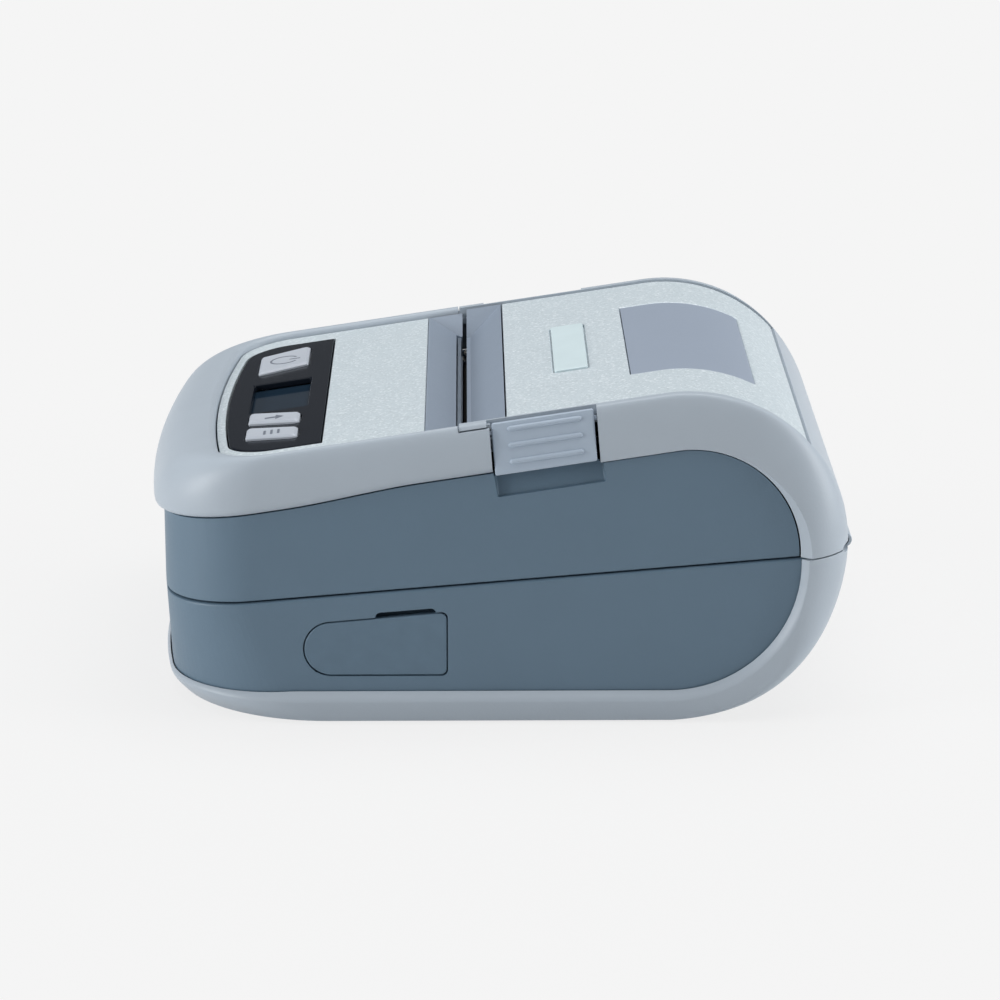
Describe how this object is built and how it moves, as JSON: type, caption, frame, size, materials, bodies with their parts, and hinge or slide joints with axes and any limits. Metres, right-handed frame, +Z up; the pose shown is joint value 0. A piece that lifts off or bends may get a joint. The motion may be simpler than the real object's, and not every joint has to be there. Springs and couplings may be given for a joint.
{
  "type": "portable receipt printer",
  "caption": "Portable thermal receipt printer with a domed front, sloping deck, display window, three keys, V-shaped paper exit, ribbed side latches and a rear-hinged lid.",
  "frame": {"origin": "middle of the footprint, on the surface that the printer stands on", "axes": "+X from the display end to the hinged rear, +Y across the paper to the side without ports, +Z up"},
  "size_m": [0.14, 0.106, 0.0663],
  "materials": {
    "slate_plastic": "fine matt texture",
    "light_grey_plastic": "satin",
    "silver_plastic": "satin metallic paint",
    "trough_plastic": "fine matt texture",
    "black_gloss_plastic": "gloss",
    "display_glass": "gloss, dark",
    "key_plastic": "satin",
    "window_plastic": "translucent, smoked",
    "blank_plate": "satin, blank",
    "black_plastic": "fine matt texture",
    "white_plastic": "satin",
    "circuit_board": "solder resist",
    "steel": "plated",
    "aluminium": "bead blasted",
    "ceramic": "fine, glazed strip",
    "rubber": "matt",
    "slate_rubber": "matt"
  },
  "bodies": {
    "body": {"lower_case": "slate_plastic", "upper_case": "slate_plastic", "base_bumper": "light_grey_plastic", "front_cover": "light_grey_plastic", "front_panel": "silver_plastic", "exit_slope_front": "trough_plastic", "display_bezel": "black_gloss_plastic", "display_glass": "display_glass", "paper_bay": "black_plastic", "dc_jack": "black_plastic", "battery_pack": "black_plastic", "display_module": "white_plastic", "display_board": "circuit_board", "main_board": "circuit_board", "port_board": "circuit_board", "tear_bar": "steel", "mechanism_frame": "steel", "head_shaft": "steel", "head_spring": "steel", "stepper_motor": "steel", "usb_socket": "steel", "case_screw_front_near": "steel", "case_screw_front_far": "steel", "case_screw_rear_near": "steel", "case_screw_rear_far": "steel", "hinge_pin_near": "steel", "hinge_pin_far": "steel", "power_mat": "rubber", "menu_mat": "rubber", "foot_front_near": "rubber", "foot_front_far": "rubber", "foot_rear_near": "rubber", "foot_rear_far": "rubber"},
    "lid": {"lid_frame": "light_grey_plastic", "lid_panel": "silver_plastic", "lid_window": "window_plastic", "label_plate": "blank_plate", "exit_slope_lid": "trough_plastic", "platen_carrier": "black_plastic", "platen_bush_far": "black_plastic", "platen_bush_near": "black_plastic"},
    "platen": {"platen_shaft": "steel", "platen_roller": "rubber", "platen_gear": "white_plastic"},
    "latch_far": {"latch_far": "light_grey_plastic"},
    "latch_near": {"latch_near": "light_grey_plastic"},
    "power_button": {"power_key": "key_plastic"},
    "feed_button": {"feed_key": "key_plastic"},
    "mode_button": {"mode_key": "key_plastic"},
    "port_flap": {"port_cover": "slate_rubber"},
    "battery_hatch": {"battery_door": "slate_plastic"},
    "head": {"print_head": "ceramic", "head_sink": "aluminium"},
    "upper_idler": {"upper_gear": "white_plastic"},
    "lower_idler": {"lower_gear": "white_plastic"},
    "pinion": {"motor_pinion": "steel"}
  },
  "joints": [
    {"name": "lid_hinge", "type": "hinge", "parent": "body", "child": "lid", "pos_m": [0.0685, 0, 0.0343], "axis": [0, 1, 0], "range_deg": [0, 95]},
    {"name": "latch_far_pivot", "type": "hinge", "parent": "lid", "child": "latch_far", "pos_m": [0.00886, 0.049, 0.05996], "axis": [0.9887, 0, 0.1502], "range_deg": [0, 14], "stiffness_Nm_per_rad": 0.02, "springref_deg": -11.46},
    {"name": "latch_near_pivot", "type": "hinge", "parent": "lid", "child": "latch_near", "pos_m": [0.00886, -0.049, 0.05996], "axis": [-0.9887, 0, -0.1502], "range_deg": [0, 14], "stiffness_Nm_per_rad": 0.02, "springref_deg": -11.46},
    {"name": "platen_spin", "type": "hinge", "parent": "lid", "child": "platen", "pos_m": [-0.0012, 0, 0.047], "axis": [0, 1, 0], "continuous": true},
    {"name": "upper_gear_spin", "type": "hinge", "parent": "body", "child": "upper_idler", "pos_m": [-0.00201, 0.0458, 0.03453], "axis": [0, 1, 0], "continuous": true},
    {"name": "lower_gear_spin", "type": "hinge", "parent": "body", "child": "lower_idler", "pos_m": [-0.00275, 0.0458, 0.02305], "axis": [0, 1, 0], "continuous": true},
    {"name": "pinion_spin", "type": "hinge", "parent": "body", "child": "pinion", "pos_m": [-0.00327, 0.0458, 0.01507], "axis": [0, 1, 0], "continuous": true},
    {"name": "head_pivot", "type": "hinge", "parent": "body", "child": "head", "pos_m": [-0.0097, 0, 0.033], "axis": [0, -1, 0], "range_deg": [0, 1.2], "stiffness_Nm_per_rad": 2, "springref_deg": -1.15},
    {"name": "port_cover_hinge", "type": "hinge", "parent": "body", "child": "port_flap", "pos_m": [-0.0241, -0.051, 0.0096], "axis": [1, 0, 0], "range_deg": [0, 100]},
    {"name": "battery_door_hinge", "type": "hinge", "parent": "body", "child": "battery_hatch", "pos_m": [-0.01585, 0.003, 0.00175], "axis": [0, -1, 0], "range_deg": [0, 80]},
    {"name": "power_press", "type": "slide", "parent": "body", "child": "power_button", "axis": [0.1502, 0, -0.9887], "range_m": [0, 0.0006], "stiffness_N_per_m": 400},
    {"name": "feed_press", "type": "slide", "parent": "body", "child": "feed_button", "axis": [0.1502, 0, -0.9887], "range_m": [0, 0.0006], "stiffness_N_per_m": 400},
    {"name": "mode_press", "type": "slide", "parent": "body", "child": "mode_button", "axis": [0.1502, 0, -0.9887], "range_m": [0, 0.0006], "stiffness_N_per_m": 400}
  ],
  "couplings": [
    {"joint": "upper_gear_spin", "follows": "platen_spin", "ratio": -0.92308},
    {"joint": "lower_gear_spin", "follows": "platen_spin", "ratio": 1.2},
    {"joint": "pinion_spin", "follows": "platen_spin", "ratio": -2}
  ]
}
